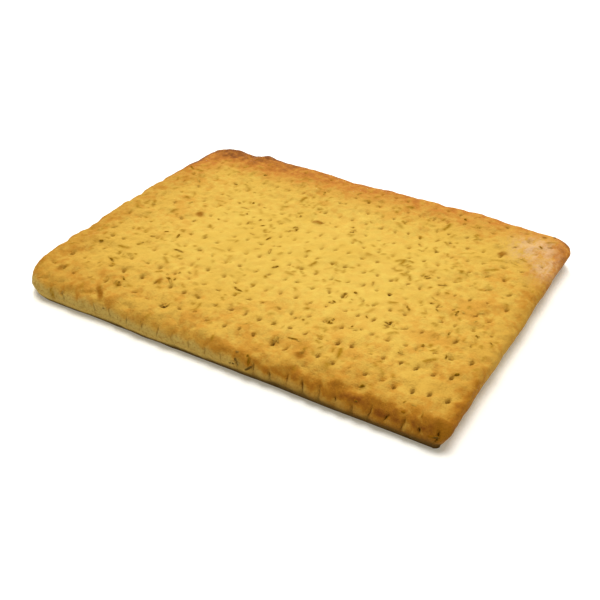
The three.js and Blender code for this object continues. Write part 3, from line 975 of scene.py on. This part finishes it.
# A needle's section, as shares of its half width and of its height: over the groove, and the keel below
SECTION = np.array([(-1, 0), (-0.6, 0.75), (0, 0.55), (0.6, 0.75), (1, 0), (0, -0.8)])
THICKNESS = 0.4
NEEDLE_BEND = 0.05
# How high a needle lies on the crust: one that is bare, and one that is nearly under the skin
NEEDLE_RISE = (0.1, -0.25)
# The powers with which it narrows to its tips, and what is left of its width there
TAPER_ALONG = 3
TAPER_ROUND = 0.7
TIP = 0.04
# The crust crept over a needle's edges and ends: how covered each point of its section is, and its ends
SECTION_COVER = np.array((0.9, 0.2, 0, 0.2, 0.9, 1))
END_COVER = 0.8
CREEP_WIDTH = 1.25
# Bits in the front wall: x, height, tilt in degrees, length, width, how deep
WALL_BITS = (
    (-163, 12.5, 10, 2.5, 1.8, 0.3),
    (-147, 16.5, 60, 4, 1.8, 0.3),
    (-144.5, 14.5, -20, 3, 1.5, 0.3),
    (-103, 16, 10, 4.5, 1.6, 0.25),
    (-89, 12, 30, 2, 1.8, 0.2),
    (26, 21, 10, 3.5, 1.4, 0.1),
    (26, 15.5, -50, 3.5, 1.4, 0),
    (29, 13, 70, 3.5, 1.3, 0.05),
    (25, 12.5, 5, 2.5, 1.3, 0.1),
    (22, 12, 30, 3.5, 1.3, 0.05),
    (38.5, 13, 38, 8, 1.8, 0),
    (128, 18.5, 5, 4, 1.3, 0.2),
    (189, 14, 8, 10, 1.6, 0.1),
)
# Needles are lowered to the crust from this height
OVERHEAD = 60
bare_needles = []
for x, y, heading, length, width, under in needles:
    if under <= BARE_TO:
        way = Vector((math.cos(heading), math.sin(heading), 0))
        bare_needles.append((Vector((x, y, OVERHEAD)), way, Vector((0, 0, -1)), length, width, under))
for x, height, tilt, length, width, under in WALL_BITS:
    way = Vector((math.cos(math.radians(tilt)), 0, math.sin(math.radians(tilt))))
    bare_needles.append((Vector((x, -DEPTH, height)), way, Vector((0, 1, 0)), length, width, under))
skin_tree = BVHTree.FromPolygons(skin.tolist(), quads.tolist())
along = np.linspace(-1, 1, STATIONS)
fullness = (1 - np.abs(along) ** TAPER_ALONG) ** TAPER_ROUND + TIP
cover = np.add.outer(END_COVER * (1 - fullness), SECTION_COVER).ravel()
sides = len(SECTION)
needle_points = []
needle_faces = []
covered = []
browning = []
wall_share = []
for start, way, inward, length, width, under in bare_needles:
    bend = bit_draw.normal(0, NEEDLE_BEND) * length
    rise = part_way(*NEEDLE_RISE, under / BARE_TO)
    points = []
    skin_browning = []
    for share, full in zip(along, fullness):
        aside = way.cross(inward) * bend * share**2
        place, normal, face, _ = skin_tree.ray_cast(start + way * share * length / 2 + aside, inward)
        if place is None:
            break
        across = normal.cross(way).normalized()
        half_width = full * CREEP_WIDTH * width / 2
        height = full * width * THICKNESS
        points += [place + across * (a * half_width) + normal * (rise + b * height) for a, b in SECTION]
        skin_browning += [brown[quads[face][0]]] * sides
    if len(points) < STATIONS * sides:
        continue
    first = len(needle_points)
    last = first + (STATIONS - 1) * sides
    for ring in range(first, last, sides):
        for corner in range(sides):
            after = (corner + 1) % sides
            needle_faces.append((ring + corner, ring + after, ring + sides + after, ring + sides + corner))
    needle_faces.append(tuple(reversed(range(first, first + sides))))
    needle_faces.append(tuple(range(last, last + sides)))
    needle_points += points
    covered.append(under / BARE_TO + cover)
    browning += skin_browning
    # Bits in the wall get a darker herb colour, and the wall's dough as their skin
    wall_share += [abs(inward.y)] * len(points)
rosemary = mesh_piece(
    "rosemary",
    np.array(needle_points),
    needle_faces,
    {"covered": np.concatenate(covered), "brown": np.array(browning), "in_wall": np.array(wall_share)},
)

DARK_HERB = colour(102, 70, 0)
DULL_HERB = colour(138, 99, 18)
SKINNED_HERB = colour(184, 145, 60)
WALL_HERB = colour(92, 68, 24)
HERB_GRAIN = 0.002
SKIN_GRAIN = 0.0045
HERB_HEIGHT = 0.0003


def baked_rosemary(shade):
    """Dark herb, darker in the wall, with patches of the crust's skin over it."""
    place = shade.node("ShaderNodeTexCoord", {}, {}, "Object")
    mottle = shade.grain(place, HERB_GRAIN, 3)
    herb = mottle.between(0.35, 0.7).tint(DARK_HERB, DULL_HERB)
    herb = shade.mask("in_wall").tint(herb, WALL_HERB)
    patches = shade.grain(place, SKIN_GRAIN, 1)
    skinned = (shade.mask("covered") * 0.5 + patches * 1.5).between(0.75, 1.25)
    # Skin over bits in the wall is the wall's dough, with its painted shade
    skin_over = shade.mask("in_wall").tint(SKINNED_HERB, WALL_DOUGH_AND_SHADE)
    skin_over = shade.mask("brown").tint(skin_over, TOAST_BROWN)
    return {
        "Base Color": skinned.tint(herb, skin_over),
        "Roughness": 0.7 - mottle * 0.15,
        "Normal": mottle.bump(HERB_HEIGHT, 0.5),
    }


finish(rosemary, "baked_rosemary", baked_rosemary, {"Specular IOR Level": 0})
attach(rosemary, "root")
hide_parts("focaccia")

# The floor
# A plain pale studio floor, so wide that the camera never sees its edge. It is lit weakly from below, like
# a light table, which softens the shadow of the bread on it.
FLOOR_HALF = 30
FLOOR_WHITE = (0.82, 0.815, 0.78, 1)
FLOOR_GLOW = (1, 0.92, 0.7, 1)
FLOOR_GLOW_STRENGTH = 0.22
floor_corners = [(FLOOR_HALF * x, FLOOR_HALF * y, 0) for x, y in ((-1, -1), (1, -1), (1, 1), (-1, 1))]
floor_mesh = bpy.data.meshes.new("floor")
floor_mesh.from_pydata(floor_corners, [], [(0, 1, 2, 3)])
floor = bpy.data.objects.new("floor", floor_mesh)
bpy.context.scene.collection.objects.link(floor)
finish(
    floor,
    "white_floor",
    lambda shade: {},
    {
        "Base Color": FLOOR_WHITE,
        "Roughness": 0.9,
        "Emission Color": FLOOR_GLOW,
        "Emission Strength": FLOOR_GLOW_STRENGTH,
    },
)

# The light
# A large soft lamp overhead and a smaller one behind and to the left, with weak light from all round.
# Each lamp: the way to it, its strength, and its width in degrees
LAMPS = (((0, 0.02, 1), 2.75, 35), ((-0.5, 0.7, 0.8), 1.75, 12))
AROUND_COLOUR = (1, 1, 1, 1)
AROUND_STRENGTH = 0.3
for way, strength, width in LAMPS:
    lamp = bpy.data.objects.new("lamp", bpy.data.lights.new("lamp", "SUN"))
    lamp.data.energy = strength
    lamp.data.angle = math.radians(width)
    lamp.rotation_mode = "QUATERNION"
    lamp.rotation_quaternion = Vector(way).to_track_quat("Z", "Y")
    bpy.context.scene.collection.objects.link(lamp)
room = bpy.data.worlds.new("room")
room.use_nodes = True
room.node_tree.nodes["Background"].inputs["Color"].default_value = AROUND_COLOUR
room.node_tree.nodes["Background"].inputs["Strength"].default_value = AROUND_STRENGTH
bpy.context.scene.world = room
bpy.context.scene.view_settings.view_transform = "Standard"

# The camera
# It stands in front and to the right, and looks down on the sheet as a person at a counter does.
# Angles are in degrees, distances in metres, and the lens and its sensor in millimetres.
AZIMUTH = 29.79
ELEVATION = 33.94
ROLL = 0.77
DISTANCE = 0.8351
ASIDE = -0.0041
UPWARD = -0.0219
LENS = 56.13
SENSOR = 36
NEAREST_SEEN = 0.01
turn = math.radians(AZIMUTH)
lift = math.radians(ELEVATION)
roll = math.radians(ROLL)
back = Vector((math.sin(turn) * math.cos(lift), -math.cos(turn) * math.cos(lift), math.sin(lift)))
right = Vector((math.cos(turn), math.sin(turn), 0))
up = back.cross(right)
view_right = right * math.cos(roll) + up * math.sin(roll)
view_up = up * math.cos(roll) - right * math.sin(roll)
stand = Matrix.Translation(back * DISTANCE + right * ASIDE + up * UPWARD)
camera = bpy.data.objects.new("camera", bpy.data.cameras.new("camera"))
camera.data.lens = LENS
camera.data.sensor_width = SENSOR
camera.data.clip_start = NEAREST_SEEN
camera.matrix_world = stand @ Matrix((view_right, view_up, back)).transposed().to_4x4()
bpy.context.scene.collection.objects.link(camera)
bpy.context.scene.camera = camera
